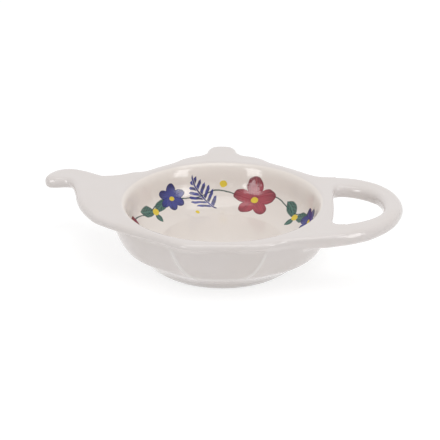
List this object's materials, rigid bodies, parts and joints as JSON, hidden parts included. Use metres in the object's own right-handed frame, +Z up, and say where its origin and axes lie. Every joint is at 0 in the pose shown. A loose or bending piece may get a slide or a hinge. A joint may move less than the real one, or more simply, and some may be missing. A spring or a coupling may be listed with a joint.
{
  "type": "tea bag rest",
  "caption": "Teapot-shaped ceramic tea bag rest: a round well in a flat rim with a spout, a lid knob and an open handle loop, standing on a foot ring.",
  "frame": {"origin": "on the table, under the middle of the part's outline", "axes": "+Z up, +X from the spout to the handle, +Y from the base edge to the lid knob"},
  "size_m": [0.1494, 0.1064, 0.026],
  "materials": {
    "glaze": "glossy cream glaze, hand painted inside the well"
  },
  "bodies": {
    "root": {"foot_ring": "glaze", "bowl": "glaze", "rim": "glaze", "spout": "glaze", "knob": "glaze", "handle": "glaze"}
  },
  "joints": []
}
